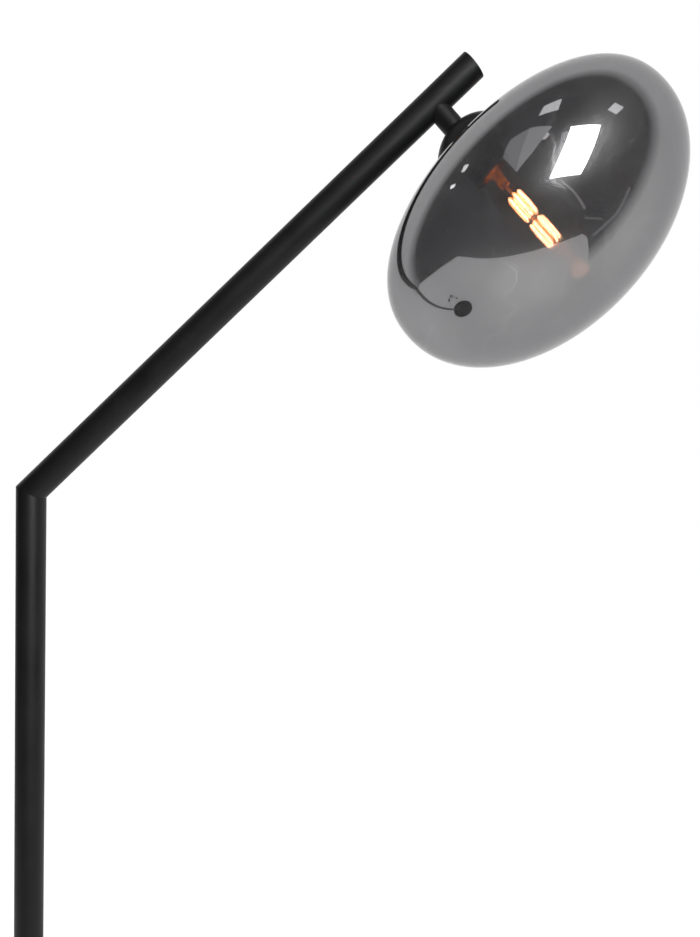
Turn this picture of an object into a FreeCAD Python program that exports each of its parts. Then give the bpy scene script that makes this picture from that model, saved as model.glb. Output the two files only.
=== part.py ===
import FreeCAD, Part
import Sketcher
import math
import os

# Globe floor lamp, millimetres, +Z up, origin on the floor under the pole.
# The arm leans towards +X. "Head" pieces are turned about the neck axis, and
# their heights are measured along it from the axis of the arm.

Vector = FreeCAD.Vector

doc = FreeCAD.newDocument("GlobeFloorLamp")

sizeTable = {
    # named clearances
    "fitGap": 0.05,
    "seatGap": 0.3,
    # foot of the lamp
    "baseRadius": 180,
    "coverWall": 1.2,
    "coverRound": 5,
    "coverLift": 1,
    "weightThickness": 12,
    "weightGap": 1,
    "padThickness": 2.5,
    "padInner": 120,
    "padOuter": 172,
    "pocketRadius": 26,
    "pocketDepth": 8.5,
    "studRadius": 5,
    "studBore": 3.6,
    "washerRadius": 12,
    "washerHeight": 1.2,
    "nutFlats": 17,
    "nutHeight": 4,
    "studTail": 0.4,
    # pole and arm
    "tubeRadius": 12.5,
    "tubeWall": 1.5,
    "footDepth": 24,
    "jointHeight": 620,
    "joinerReach": 30,
    "joinerWall": 3,
    "kinkHeight": 1100,
    "armAngle": 45,
    "armLength": 551,
    "capFlange": 2,
    "capRound": 0.8,
    "plugReach": 10,
    # neck
    "neckBack": 48,
    "neckOffset": "=armLength - neckBack",
    "neckRadius": 10,
    "neckWall": 1.5,
    "neckReach": 28.5,
    "nippleStart": 2,
    "saddleRadius": 8,
    "saddleStart": 5,
    "lockNutHeight": 3,
    # dome cap
    "domeRadius": 37,
    "domeDepth": 20,
    "domeCurve": 44,
    "domeWall": 1,
    "skirtHeight": 3.8,
    "screwCount": 3,
    "screwRadius": 1.7,
    "screwProud": 0.4,
    "gasketThickness": 1,
    "gasketWidth": 3.8,
    # glass globe
    "globeRadius": 150,
    "globeUpper": 82,
    "globeLower": 99,
    "upperPower": 2.26,
    "lowerPower": 2.02,
    "globeWall": 2.2,
    "lipRadius": 32.5,
    "lipHeight": 5.8,
    # lamp holder
    "holderCrown": 13,
    "holderShoulder": 11,
    "holderRadius": 19.5,
    "holderWall": 2.2,
    "holderLength": 34,
    "holderRim": 1.8,
    "threadPitch": 3,
    "threadDepth": 0.8,
    "threadTurns": 7,
    "threadStart": 7,
    "insertHeight": 5,
    "shellRadius": 14.2,
    "shellWall": 0.4,
    "contactWidth": 5,
    "contactSheet": 0.6,
    # bulb
    "bulbThread": 13.1,
    "bulbCapWall": 0.3,
    "bulbCapLength": 23,
    "bulbPitch": 3.63,
    "bulbTip": 4.8,
    "bulbTipHeight": 1.5,
    "bulbInsulator": 3.5,
    "bulbSeatDepth": 1,
    "bulbRadius": 29,
    "bulbLength": 136,
    "bulbNeck": 13,
    "bulbCollar": 5,
    "bulbGlass": 0.8,
    "stemRadius": 5,
    "stemLength": 16,
    "stemRod": 1.4,
    "filamentRadius": 1.1,
    "filamentLength": 29,
    "filamentCircle": 8,
    "filamentStart": 45,
    "tierGap": 5,
    "tierFilaments": 4,
    "supportRadius": 0.3,
    # inner leads
    "leadRadius": 1.1,
    "leadSpacing": 1.3,
    "leadKink": 40,
    "leadBend": 6,
    "footBend": 3,
    "leadDrop": 4.2,
    # mains cord and what is on it
    "cordRadius": 2.75,
    "cordHeight": 6.5,
    "channelWidth": 8,
    "grommetLip": 2,
    "grommetWall": 2.2,
    "reliefLength": 24,
    "reliefWall": 0.9,
    "clampLength": 8,
    "clampWidth": 20,
    "clampTop": 3,
    "clampScrew": 1.6,
    "clampScrewSpread": 6.5,
    "clampPlace": 22,
    "leadInEnd": 13,
    # foot switch
    "switchReach": 40,
    "switchRadius": 20,
    "trayHeight": 10,
    "trayWall": 2,
    "lidHeight": 12,
    "lidRound": 4,
    "buttonRadius": 12,
    "buttonGap": 0.4,
    "buttonFlange": 2,
    "buttonProud": 5,
    "buttonRound": 2,
    "springRadius": 6.5,
    "springWire": 0.5,
    "springTurns": 5,
    "springSteps": 10,
    "pillarRadius": 3,
    "pillarPlace": 24,
    "switchScrewRadius": 1.4,
    "switchScrewHead": 2.5,
    "switchHeadHeight": 1.2,
    "switchCordHeight": 4.4,
    "sleeveRoot": 4.3,
    "sleeveTip": 3.6,
    "sleeveReach": 22,
    # coil and plug
    "coilRadius": 30,
    "coilThick": 8.3,
    "coilAhead": 68,
    "coilLeft": 68,
    "plugLength": 36,
    "plugWidth": 35,
    "plugHeight": 14,
    "plugNose": 15,
    "plugRound": 3,
    "plugNeck": 20,
    "pinRadius": 2,
    "pinLength": 19,
    "pinSpread": 19,
}

# The cord's route on the floor from the cover's edge to the foot switch: hand-laid points (x, y, z).
cordRoute = [
    (-180, 0, 6.5), (-222, 0, 6.5), (-262, -5, 2.75), (-300, -20, 2.75), (-332, -46, 4.4), (-355, -82, 4.4),
]
# Beyond the switch the points are (ahead, left, z) from the middle of the switch.
tailRoute = [(40, 0, 4.4), (82, 0, 4.4), (110.4, 22.2, 2.75), (116.3, 55.7, 2.75), (99.8, 85.4, 2.75)]
endRoute = [(86, 99.2, 2.75), (63.5, 112.2, 2.75), (41.1, 129, 4.4), (23, 147.7, 7), (9.5, 165, 7)]

sheet = doc.addObject("Spreadsheet::Sheet", "Sizes")
for row, (alias, number) in enumerate(sizeTable.items(), start=1):
    sheet.set("A%d" % row, alias)
    sheet.set("B%d" % row, str(number))
    sheet.setAlias("B%d" % row, alias)
doc.recompute()


def size(alias):
    return float(sheet.get(alias))


def value(formula):
    """Number for a formula that adds and takes away sizes, such as '2*tubeWall + fitGap'."""
    total, sign = 0.0, 1.0
    for word in formula.split():
        if word in ("+", "-"):
            sign = 1.0 if word == "+" else -1.0
            continue
        factor, _, name = word.rpartition("*")
        number = float(name) if name[0].isdigit() else size(name)
        total += sign * float(factor or 1) * number
    return total


def bound(formula):
    """The same formula as an expression on the sheet."""
    words = []
    for word in formula.split():
        factor, star, name = word.rpartition("*")
        if word in ("+", "-") or name[0].isdigit():
            words.append(word)
        else:
            words.append(factor + star + "Sizes." + name)
    return " ".join(words)


# --- sub-part helpers -------------------------------------------------------

subParts = []


def keep(thing, label):
    thing.Label = label
    subParts.append(thing)
    return thing


def tie(thing, **formulas):
    for name, formula in formulas.items():
        setattr(thing, name, value(formula))
        thing.setExpression(name, bound(formula))
    return thing


def place(thing, x="", y="", z="", turn=None, axis=Vector(0, 1, 0)):
    """Base from formulas, turned by a formula in degrees about an axis."""
    angle = value(turn) if turn else 0
    thing.Placement = FreeCAD.Placement(Vector(0, 0, 0), FreeCAD.Rotation(axis, angle))
    if turn:
        thing.setExpression("Placement.Rotation.Angle", bound(turn))
    for letter, formula in (("x", x), ("y", y), ("z", z)):
        if formula:
            thing.setExpression("Placement.Base." + letter, bound(formula))
    return thing


def placeHead(thing):
    """Stands a head piece on the neck axis: 135 degrees from upright when the arm leans 45."""
    thing.Placement = FreeCAD.Placement(headOrigin(), FreeCAD.Rotation(Vector(0, 1, 0), 90 + size("armAngle")))
    thing.setExpression("Placement.Base.x", "Sizes.neckOffset * cos(Sizes.armAngle)")
    thing.setExpression("Placement.Base.z", "Sizes.kinkHeight + Sizes.neckOffset * sin(Sizes.armAngle)")
    thing.setExpression("Placement.Rotation.Angle", "90 + Sizes.armAngle")
    return thing


def armDirection():
    lean = math.radians(size("armAngle"))
    return Vector(math.cos(lean), 0, math.sin(lean))


def headOrigin():
    return Vector(0, 0, size("kinkHeight")) + armDirection() * size("neckOffset")


def originPlane(body, role):
    return [feature for feature in body.Origin.OriginFeatures if feature.Role == role][0]


def newSketch(body, name, role):
    sketch = body.newObject("Sketcher::SketchObject", name)
    sketch.AttachmentSupport = (originPlane(body, role), "")
    sketch.MapMode = "FlatFace"
    return sketch


def pin(sketch, geo, spot, formulaX, formulaY):
    """Holds one point of the sketch at two formulas."""
    for kind, formula, axisLine in (("DistanceX", formulaX, -2), ("DistanceY", formulaY, -1)):
        if formula == "0":
            sketch.addConstraint(Sketcher.Constraint("PointOnObject", geo, spot, axisLine))
            continue
        index = sketch.addConstraint(Sketcher.Constraint(kind, -1, 1, geo, spot, value(formula)))
        sketch.setExpression("Constraints[%d]" % index, bound(formula))


def outline(sketch, corners):
    """Closed outline. A corner is (x, y), or (x, y, radius, side) when an arc leads to it:
    side 1 bends the arc left along the way, side -1 bends it right."""
    spots = [Vector(value(corner[0]), value(corner[1]), 0) for corner in corners]
    ends = []
    for index, start in enumerate(spots):
        stop = spots[(index + 1) % len(spots)]
        corner = corners[(index + 1) % len(corners)]
        if len(corner) == 2:
            geo = sketch.addGeometry(Part.LineSegment(start, stop), False)
            ends.append((geo, 1, 2))
            continue
        radius, side = value(corner[2]), corner[3]
        chord = stop - start
        height = math.sqrt(max(radius ** 2 - chord.Length ** 2 / 4, 0))
        centre = (start + stop) * 0.5 + Vector(-chord.y, chord.x, 0).normalize() * height * side
        angles = [math.atan2(end.y - centre.y, end.x - centre.x) for end in (start, stop)]
        circle = Part.Circle(centre, Vector(0, 0, 1), radius)
        geo = sketch.addGeometry(Part.ArcOfCircle(circle, *angles[::side]), False)
        ends.append((geo, 1, 2) if side > 0 else (geo, 2, 1))
        index = sketch.addConstraint(Sketcher.Constraint("Radius", geo, radius))
        sketch.setExpression("Constraints[%d]" % index, bound(corner[2]))
    for index, (geo, start, stop) in enumerate(ends):
        nextGeo, nextStart, _ = ends[(index + 1) % len(ends)]
        sketch.addConstraint(Sketcher.Constraint("Coincident", geo, stop, nextGeo, nextStart))
        pin(sketch, geo, start, corners[index][0], corners[index][1])


def turned(label, corners):
    """Body of revolution about Z from an outline of (radius, height) corners."""
    body = doc.addObject("PartDesign::Body", label)
    sketch = newSketch(body, label + "_profile", "XZ_Plane")
    outline(sketch, corners)
    doc.recompute()
    turn = body.newObject("PartDesign::Revolution", label + "_turn")
    turn.Profile = sketch
    turn.ReferenceAxis = (sketch, ["V_Axis"])
    turn.Angle = 360
    body.Tip = turn
    doc.recompute()
    return keep(body, label)


def cutBody(body, name, role, corners, length, count=""):
    """Straight cut from the middle of the body out along the plane's normal, repeated round Z."""
    sketch = newSketch(body, name + "_outline", role)
    corners(sketch)
    doc.recompute()
    before = body.Shape.Volume
    pocket = body.newObject("PartDesign::Pocket", name)
    pocket.Profile = sketch
    tie(pocket, Length=length)
    body.Tip = pocket
    doc.recompute()
    if abs(body.Shape.Volume - before) < 1e-6:
        pocket.Reversed = True
        doc.recompute()
    if count:
        pattern = body.newObject("PartDesign::PolarPattern", name + "_ring")
        pattern.Originals = [pocket]
        pattern.Axis = (originPlane(body, "Z_Axis"), [""])
        pattern.Angle = 360
        pattern.Occurrences = int(value(count))
        pattern.setExpression("Occurrences", bound(count))
        body.Tip = pattern
        doc.recompute()


def rodShape(start, stop, radius):
    return Part.makeCylinder(radius, (stop - start).Length, start, stop - start)


def solidFeature(label, shape):
    feature = doc.addObject("Part::Feature", label)
    feature.Shape = shape
    return keep(feature, label)


def cylinder(name, radius, height, x="", y="", z=""):
    thing = tie(doc.addObject("Part::Cylinder", name), Radius=radius, Height=height)
    return place(thing, x, y, z)


def cut(label, base, tool):
    thing = doc.addObject("Part::Cut", label)
    thing.Base = base
    thing.Tool = tool
    doc.recompute()
    return thing


def fuse(label, things):
    thing = doc.addObject("Part::MultiFuse", label)
    thing.Shapes = things
    doc.recompute()
    return thing


# --- foot of the lamp ---------------------------------------------------------

weightBase = "padThickness"
weightTop = "padThickness + weightThickness"
coverTop = weightTop + " + coverWall"
pocketTop = "padThickness + pocketDepth"
studStart = pocketTop + " - washerHeight - nutHeight - studTail"


def makePad():
    turned("base_pad", [("padInner", "0"), ("padOuter", "0"), ("padOuter", "padThickness"), ("padInner", "padThickness")])


def makeWeight():
    rim = "baseRadius - coverWall - weightGap"
    body = turned("base_weight", [
        ("studRadius + fitGap", pocketTop),
        ("pocketRadius", pocketTop),
        ("pocketRadius", weightBase),
        (rim, weightBase),
        (rim, weightTop + " - coverRound"),
        (rim + " - coverRound", weightTop, "coverRound", 1),
        ("studRadius + fitGap", weightTop),
    ])

    # channel for the cord, from the pocket out to the rim on the -X side
    def channel(sketch):
        outline(sketch, [
            ("0 - 0.5*channelWidth", "0"),
            ("0.5*channelWidth", "0"),
            ("0.5*channelWidth", weightBase + " + channelWidth"),
            ("0 - 0.5*channelWidth", weightBase + " + channelWidth"),
        ])

    cutBody(body, "cord_channel", "YZ_Plane", channel, "baseRadius")


def makeCover():
    body = turned("base_cover", [
        ("studRadius + fitGap", weightTop),
        ("baseRadius - coverWall - coverRound", weightTop),
        ("baseRadius - coverWall", weightTop + " - coverRound", "coverRound", -1),
        ("baseRadius - coverWall", "padThickness + coverLift"),
        ("baseRadius", "padThickness + coverLift"),
        ("baseRadius", coverTop + " - coverRound - coverWall"),
        ("baseRadius - coverRound - coverWall", coverTop, "coverRound + coverWall", 1),
        ("studRadius + fitGap", coverTop),
    ])

    def notch(sketch):
        half = "cordRadius + grommetWall"
        outline(sketch, [
            ("0 - " + half.replace("+", "-"), "0"),
            (half, "0"),
            (half, "cordHeight + " + half),
            ("0 - " + half.replace("+", "-"), "cordHeight + " + half),
        ])

    cutBody(body, "cord_notch", "YZ_Plane", notch, "baseRadius")


def makeStud():
    turned("base_stud", [
        ("studBore", studStart),
        ("studRadius", studStart),
        ("studRadius", coverTop + " + footDepth"),
        ("studBore", coverTop + " + footDepth"),
    ])
    turned("base_washer", [
        ("studRadius + fitGap", pocketTop + " - washerHeight"),
        ("washerRadius", pocketTop + " - washerHeight"),
        ("washerRadius", pocketTop),
        ("studRadius + fitGap", pocketTop),
    ])
    hexagon = doc.addObject("Part::Prism", "base_nut_blank")
    hexagon.Polygon = 6
    hexagon.Circumradius = size("nutFlats") / math.sqrt(3)
    hexagon.setExpression("Circumradius", "Sizes.nutFlats / sqrt(3)")
    tie(hexagon, Height="nutHeight")
    place(hexagon, z=pocketTop + " - washerHeight - nutHeight")
    bore = cylinder("base_nut_bore", "studRadius + fitGap", "3*nutHeight", z=studStart + " - nutHeight")
    keep(cut("base_nut", hexagon, bore), "base_nut")


# --- pole and arm ---------------------------------------------------------------


def makePole():
    inner = "tubeRadius - tubeWall"
    turned("pole_foot", [
        ("studRadius + fitGap", coverTop),
        (inner + " - fitGap", coverTop),
        (inner + " - fitGap", coverTop + " + footDepth"),
        ("studRadius + fitGap", coverTop + " + footDepth"),
    ])
    turned("pole_lower", [
        (inner, coverTop),
        ("tubeRadius", coverTop),
        ("tubeRadius", "jointHeight"),
        (inner, "jointHeight"),
    ])
    turned("pole_joiner", [
        (inner + " - fitGap - joinerWall", "jointHeight - joinerReach"),
        (inner + " - fitGap", "jointHeight - joinerReach"),
        (inner + " - fitGap", "jointHeight + joinerReach"),
        (inner + " - fitGap - joinerWall", "jointHeight + joinerReach"),
    ])


def mitreBlock(name, above):
    """Block on one side of the mitre plane, which halves the angle between pole and arm."""
    block = doc.addObject("Part::Box", name)
    side = "20*tubeRadius"
    tie(block, Length=side, Width=side, Height=side)
    half = "10 * Sizes.tubeRadius"
    down = "0" if above else "20 * Sizes.tubeRadius"
    tilt = "(90 - Sizes.armAngle) / 2"
    block.Placement = FreeCAD.Placement(Vector(0, 0, 0), FreeCAD.Rotation(Vector(0, 1, 0), (90 - size("armAngle")) / 2))
    block.setExpression("Placement.Rotation.Angle", tilt)
    block.setExpression("Placement.Base.x", "0 - %s * cos(%s) - %s * sin(%s)" % (half, tilt, down, tilt))
    block.setExpression("Placement.Base.y", "0 - " + half)
    block.setExpression("Placement.Base.z", "Sizes.kinkHeight + %s * sin(%s) - %s * cos(%s)" % (half, tilt, down, tilt))
    return block


def tubeBlank(name, height):
    outer = cylinder(name + "_outer", "tubeRadius", height)
    inner = cylinder(name + "_inner", "tubeRadius - tubeWall", height)
    return cut(name + "_blank", outer, inner)


def alongArm(thing, distance):
    """Lays an upright thing along the arm, starting at a distance from the kink."""
    place(thing, turn="90 - armAngle")
    thing.setExpression("Placement.Base.x", "(%s) * cos(Sizes.armAngle)" % bound(distance))
    thing.setExpression("Placement.Base.z", "Sizes.kinkHeight + (%s) * sin(Sizes.armAngle)" % bound(distance))
    return thing


def makeUpperPole():
    blank = tubeBlank("pole_upper", "kinkHeight - jointHeight + 2*tubeRadius")
    place(blank, z="jointHeight")
    keep(cut("pole_upper", blank, mitreBlock("pole_mitre", True)), "pole_upper")


def makeArm():
    blank = tubeBlank("arm_tube", "armLength - capFlange + 2*tubeRadius")
    alongArm(blank, "0 - 2*tubeRadius")
    mitred = cut("arm_mitred", blank, mitreBlock("arm_mitre", False))
    drill = placeHead(cylinder("nipple_drill", "studRadius + fitGap", "2*tubeRadius"))
    keep(cut("arm_tube", mitred, drill), "arm_tube")
    body = turned("arm_cap", [
        ("0", "0"),
        ("tubeRadius - tubeWall - fitGap", "0"),
        ("tubeRadius - tubeWall - fitGap", "plugReach"),
        ("tubeRadius", "plugReach"),
        ("tubeRadius", "plugReach + capFlange - capRound"),
        ("tubeRadius - capRound", "plugReach + capFlange", "capRound", 1),
        ("0", "plugReach + capFlange"),
    ])
    alongArm(body, "armLength - capFlange - plugReach")


# --- neck and dome cap ----------------------------------------------------------

capTop = "neckReach"
capInner = capTop + " + domeWall"
skirtTop = capTop + " + domeDepth"
capRim = skirtTop + " + skirtHeight"
shoulder = capRim + " + gasketThickness"
nippleEnd = capInner + " + lockNutHeight + holderWall + lockNutHeight"


def makeNeck():
    outer = placeHead(cylinder("neck_outer", "neckRadius", "neckReach"))
    inner = placeHead(cylinder("neck_inner", "neckRadius - neckWall", "neckReach"))
    tube = cut("neck_blank", outer, inner)
    arm = alongArm(cylinder("neck_cope", "tubeRadius", "6*tubeRadius"), "neckOffset - 3*tubeRadius")
    keep(cut("neck_tube", tube, arm), "neck_tube")

    blank = cylinder("saddle_blank", "saddleRadius", "tubeRadius - saddleStart", z="saddleStart")
    bore = cylinder("saddle_bore", "studRadius + fitGap", "2*tubeRadius")
    nut = placeHead(cut("saddle_nut", blank, bore))
    wall = alongArm(cylinder("saddle_seat", "tubeRadius - tubeWall - fitGap", "6*tubeRadius"), "neckOffset - 3*tubeRadius")
    seated = doc.addObject("Part::Common", "neck_nut")
    seated.Base = nut
    seated.Tool = wall
    doc.recompute()
    keep(seated, "neck_nut")

    placeHead(turned("neck_nipple", [
        ("studBore", "nippleStart"),
        ("studRadius", "nippleStart"),
        ("studRadius", nippleEnd),
        ("studBore", nippleEnd),
    ]))


def makeDome():
    body = turned("dome_cap", [
        ("studRadius + fitGap", capTop),
        ("studRadius + fitGap", capInner),
        ("neckRadius", capInner),
        ("domeRadius - domeWall", skirtTop, "domeCurve - domeWall", 1),
        ("domeRadius - domeWall", capRim),
        ("domeRadius", capRim),
        ("domeRadius", skirtTop),
        ("neckRadius", capTop, "domeCurve", -1),
    ])

    def screwHole(sketch):
        geo = sketch.addGeometry(Part.Circle(Vector(0, value(capRim), 0), Vector(0, 0, 1), size("screwRadius")), False)
        pin(sketch, geo, 3, "0", capRim + " - 0.5*skirtHeight")
        index = sketch.addConstraint(Sketcher.Constraint("Radius", geo, size("screwRadius")))
        sketch.setExpression("Constraints[%d]" % index, bound("screwRadius"))

    cutBody(body, "screw_hole", "YZ_Plane", screwHole, "2*domeRadius", "screwCount")
    placeHead(body)

    screws = []
    for number in range(int(size("screwCount"))):
        screw = cylinder("cap_screw_%d" % number, "screwRadius - fitGap", "domeRadius + screwProud - lipRadius - fitGap")
        turn = 360 * number / size("screwCount")
        around = FreeCAD.Rotation(Vector(0, 0, 1), turn)
        spot = Vector(-value("lipRadius + fitGap"), 0, value(capRim + " - 0.5*skirtHeight"))
        outward = FreeCAD.Rotation(Vector(0, 1, 0), -90)
        screw.Placement = FreeCAD.Placement(around.multVec(spot), around.multiply(outward))
        screws.append(screw)
    keep(placeHead(fuse("cap_screws", screws)), "cap_screws")

    placeHead(turned("cap_locknut", [
        ("studRadius + fitGap", capInner),
        ("neckRadius - fitGap", capInner),
        ("neckRadius - fitGap", capInner + " + lockNutHeight"),
        ("studRadius + fitGap", capInner + " + lockNutHeight"),
    ]))
    placeHead(turned("globe_gasket", [
        ("domeRadius - gasketWidth", capRim),
        ("domeRadius", capRim),
        ("domeRadius", shoulder),
        ("domeRadius - gasketWidth", shoulder),
    ]))


# --- glass globe ------------------------------------------------------------------


def ovalHeight(radius, reach, height, power):
    """Height over the middle of an oval |r/reach|^power + |z/height|^power = 1."""
    return height * (1 - (radius / reach) ** power) ** (1 / power)


def globeCentre():
    """The globe hangs so that its shoulder, at the lip's radius, meets the gasket."""
    rise = ovalHeight(size("lipRadius"), size("globeRadius"), size("globeUpper"), size("upperPower"))
    return value(shoulder) + rise


def ovalArc(reach, height, power, start, stop, middle, sign, count=15):
    """Points on a quarter of the oval, at even steps of its angle from the neck axis."""
    points = []
    for step in range(count):
        angle = start + (stop - start) * step / (count - 1)
        radius = reach * abs(math.sin(angle)) ** (2 / power)
        rise = height * abs(math.cos(angle)) ** (2 / power)
        points.append(Vector(radius, 0, middle + sign * rise))
    return points


def lipAngle(radius, reach, power):
    return math.asin((radius / reach) ** (power / 2))


def makeGlobe():
    wall = size("globeWall")
    middle = globeCentre()
    curves = []
    for inset in (0, wall):
        lip = size("lipRadius") - inset
        reach = size("globeRadius") - inset
        upper = size("globeUpper") - inset
        lower = size("globeLower") - inset
        start = lipAngle(lip, reach, size("upperPower"))
        top = ovalArc(reach, upper, size("upperPower"), start, math.pi / 2, middle, -1)
        bottom = ovalArc(reach, lower, size("lowerPower"), math.pi / 2, 0, middle, 1)
        upperCurve = Part.BSplineCurve()
        upperCurve.interpolate(top, FinalTangent=Vector(0, 0, 1), InitialTangent=top[1] - top[0])
        lowerCurve = Part.BSplineCurve()
        lowerCurve.interpolate(bottom, FinalTangent=Vector(-1, 0, 0), InitialTangent=Vector(0, 0, 1))
        curves.append((upperCurve.toShape(), lowerCurve.toShape(), top[0], bottom[-1]))
    outer, inner = curves
    lipTop = value(shoulder) - size("lipHeight")
    outerLip = Vector(size("lipRadius"), 0, lipTop)
    innerLip = Vector(size("lipRadius") - wall, 0, lipTop)
    edges = [
        Part.makeLine(outerLip, outer[2]), outer[0], outer[1],
        Part.makeLine(outer[3], inner[3]), inner[1], inner[0],
        Part.makeLine(inner[2], innerLip), Part.makeLine(innerLip, outerLip),
    ]
    face = Part.Face(Part.Wire(Part.__sortEdges__(edges)))
    shell = face.revolve(Vector(0, 0, 0), Vector(0, 0, 1), 360)
    placeHead(solidFeature("glass_globe", shell))


# --- lamp holder --------------------------------------------------------------------

crownTop = capInner + " + lockNutHeight"
crownRim = crownTop + " + holderShoulder"
holderEnd = crownRim + " + holderLength"


def makeHolder():
    placeHead(turned("holder_crown", [
        ("studRadius + fitGap", crownTop),
        ("holderCrown", crownTop),
        ("holderRadius", crownRim),
        ("holderRadius - holderWall", crownRim),
        ("holderCrown - holderWall", crownTop + " + holderWall"),
        ("studRadius + fitGap", crownTop + " + holderWall"),
    ]))

    # the skirt carries round thread ribs for a shade ring
    ribs = []
    base = crownRim + " + threadStart"
    for turn in range(int(size("threadTurns"))):
        start = base + " + %d*threadPitch" % turn
        ribs += [
            ("holderRadius - threadDepth", start),
            ("holderRadius", start + " + 0.3*threadPitch"),
            ("holderRadius", start + " + 0.6*threadPitch"),
        ]
    placeHead(turned("holder_skirt", [
        ("holderRadius - holderWall", crownRim),
        ("holderRadius", crownRim),
        ("holderRadius", base + " - 0.3*threadPitch"),
    ] + ribs + [
        ("holderRadius - threadDepth", base + " + %d*threadPitch" % int(size("threadTurns"))),
        ("holderRadius - threadDepth", holderEnd),
        ("shellRadius + shellWall", holderEnd),
        ("shellRadius + shellWall", holderEnd + " - holderRim"),
        ("holderRadius - holderWall", holderEnd + " - holderRim"),
    ]))

    placeHead(turned("holder_insert", [
        ("0", crownRim),
        ("holderRadius - holderWall - fitGap", crownRim),
        ("holderRadius - holderWall - fitGap", crownRim + " + insertHeight"),
        ("0", crownRim + " + insertHeight"),
    ]))
    placeHead(turned("holder_shell", [
        ("shellRadius - shellWall", crownRim + " + insertHeight"),
        ("shellRadius", crownRim + " + insertHeight"),
        ("shellRadius", holderEnd),
        ("shellRadius - shellWall", holderEnd),
    ]))
    placeHead(makeContact())


def bulbTipHeight():
    """The tip of the bulb's cap, which stays a seat gap clear of the contact's tongue."""
    return value(holderEnd + " + bulbSeatDepth - bulbCapLength - bulbInsulator - bulbTipHeight")


def makeContact():
    """Bent tongue on the insert that reaches for the tip of the bulb."""
    low = value(crownRim + " + insertHeight")
    high = bulbTipHeight() - size("seatGap")
    wide, thick = size("contactWidth"), size("contactSheet")
    reach = size("bulbThread") * 0.6
    path = [
        Vector(-reach, 0, low), Vector(-thick, 0, low), Vector(reach, 0, high - thick),
        Vector(0, 0, high), Vector(-thick, 0, low + thick), Vector(-reach, 0, low + thick),
    ]
    face = Part.Face(Part.makePolygon(path + [path[0]]))
    tongue = face.extrude(Vector(0, wide, 0))
    tongue.translate(Vector(0, -wide / 2, 0))
    return solidFeature("holder_contact", tongue)


# --- bulb -------------------------------------------------------------------------------

capEnd = holderEnd + " + bulbSeatDepth"
capStart = capEnd + " - bulbCapLength"
insulatorTop = capStart + " - bulbInsulator"


def makeBulb():
    # rolled thread of the cap, drawn as round ribs
    ribs = []
    for turn in range(5):
        crest = capStart + " + %d*bulbPitch" % turn
        ribs += [
            ("bulbThread - 0.2*bulbPitch", crest + " + 0.3*bulbPitch"),
            ("bulbThread", crest + " + 0.8*bulbPitch"),
        ]
    placeHead(turned("bulb_cap", [
        ("bulbThread - 0.2*bulbPitch - bulbCapWall", capStart),
        ("bulbThread - 0.2*bulbPitch", capStart),
    ] + ribs + [
        ("bulbThread - 0.2*bulbPitch", capStart + " + 5.3*bulbPitch"),
        ("bulbThread", capEnd + " - bulbCapWall"),
        ("bulbThread", capEnd),
        ("bulbThread - 0.2*bulbPitch - bulbCapWall", capEnd),
    ]))
    placeHead(turned("bulb_insulator", [
        ("0", insulatorTop),
        ("bulbTip + bulbCapWall", insulatorTop),
        ("bulbThread - 0.2*bulbPitch - bulbCapWall", capStart),
        ("bulbThread - 0.2*bulbPitch - bulbCapWall", capStart + " + bulbInsulator"),
        ("0", capStart + " + bulbInsulator"),
    ]))
    placeHead(turned("bulb_tip", [
        ("0", insulatorTop + " - bulbTipHeight"),
        ("0.5*bulbTip", insulatorTop + " - bulbTipHeight"),
        ("bulbTip", insulatorTop),
        ("0", insulatorTop),
    ]))
    placeHead(solidFeature("bulb_envelope", envelopeShape()))
    placeHead(solidFeature("bulb_stem", stemShape()))
    placeHead(solidFeature("bulb_filaments", filamentShape()))
    placeHead(solidFeature("bulb_supports", supportShape()))


def envelopeCurve(inset):
    """Neck, straight flank and round end of the envelope, as (radius, height) edges."""
    neck = size("bulbNeck") - inset
    radius = size("bulbRadius") - inset
    start = value(capEnd)
    flank = start + size("bulbCollar")
    middle = start + size("bulbLength") - value("bulbCapLength + bulbInsulator + bulbTipHeight") - size("bulbRadius")
    # the flank leaves the neck and touches the ball: tangent from a point to a circle
    gap = middle - flank
    distance = math.hypot(gap, neck)
    towards = math.atan2(neck, -gap)
    touch = towards - math.acos(radius / distance)
    meet = Vector(radius * math.sin(touch), 0, middle + radius * math.cos(touch))
    half = (touch) / 2
    crest = Vector(radius * math.sin(half), 0, middle + radius * math.cos(half))
    pole = Vector(0, 0, middle + radius)
    return [
        Part.makeLine(Vector(neck, 0, start), Vector(neck, 0, flank)),
        Part.makeLine(Vector(neck, 0, flank), meet),
        Part.Arc(meet, crest, pole).toShape(),
    ], Vector(neck, 0, start), pole


def envelopeShape():
    outer, outerStart, outerPole = envelopeCurve(0)
    inner, innerStart, innerPole = envelopeCurve(size("bulbGlass"))
    edges = outer + inner + [Part.makeLine(outerStart, innerStart), Part.makeLine(outerPole, innerPole)]
    face = Part.Face(Part.Wire(Part.__sortEdges__(edges)))
    return face.revolve(Vector(0, 0, 0), Vector(0, 0, 1), 360)


def filamentStart():
    return value(capStart) + size("filamentStart")


def stemShape():
    """Flared glass foot inside the neck, with the rod that carries the supports."""
    start = value(capEnd + " - bulbCollar")
    foot = Part.makeCone(size("bulbNeck") - size("bulbGlass") - size("fitGap"), size("stemRadius"), size("bulbCollar"),
                         Vector(0, 0, start))
    barrel = Part.makeCylinder(size("stemRadius"), size("stemLength"), Vector(0, 0, start + size("bulbCollar")))
    rodEnd = filamentStart() + 2 * size("filamentLength") + size("tierGap")
    rod = rodShape(Vector(0, 0, start), Vector(0, 0, rodEnd), size("stemRod"))
    return foot.fuse([barrel, rod]).removeSplitter()


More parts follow.
